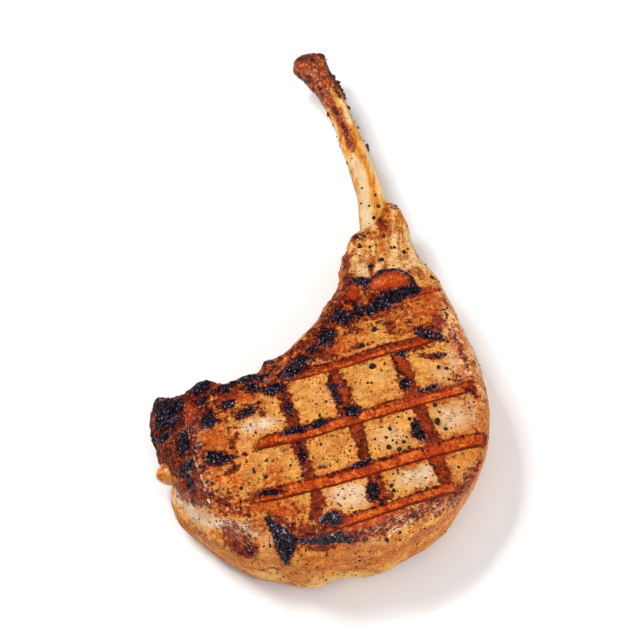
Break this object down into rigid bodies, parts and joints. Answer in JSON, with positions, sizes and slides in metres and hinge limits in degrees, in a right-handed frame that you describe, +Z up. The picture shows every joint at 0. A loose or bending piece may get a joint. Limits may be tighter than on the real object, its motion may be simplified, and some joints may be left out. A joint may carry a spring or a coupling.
{
  "type": "grilled long-bone pork chop",
  "caption": "Thick pork chop with a band of fat round its outer edge, a long cleaned rib bone, crossed grill marks and cracked pepper.",
  "frame": {"origin": "On the surface the chop rests on, under the middle of its length and width.", "axes": "+Y runs along the chop to the tip of the rib bone, +Z is up out of the grill-marked face, +X is to the side of the chop that the fat wraps."},
  "size_m": [0.1404, 0.2633, 0.038],
  "materials": {
    "grilled_meat": "seared pork, golden to dark brown, with a light sheen of fat",
    "browned_fat": "browned pork fat, cream to tan, moist",
    "roasted_bone": "roasted bone, cream to brown, dry",
    "rendered_fat": "amber rendered fat, glossy"
  },
  "bodies": {
    "root": {"meat": "grilled_meat", "fat_cap": "browned_fat", "rib_bone": "roasted_bone", "fat_nub": "rendered_fat"}
  },
  "joints": []
}
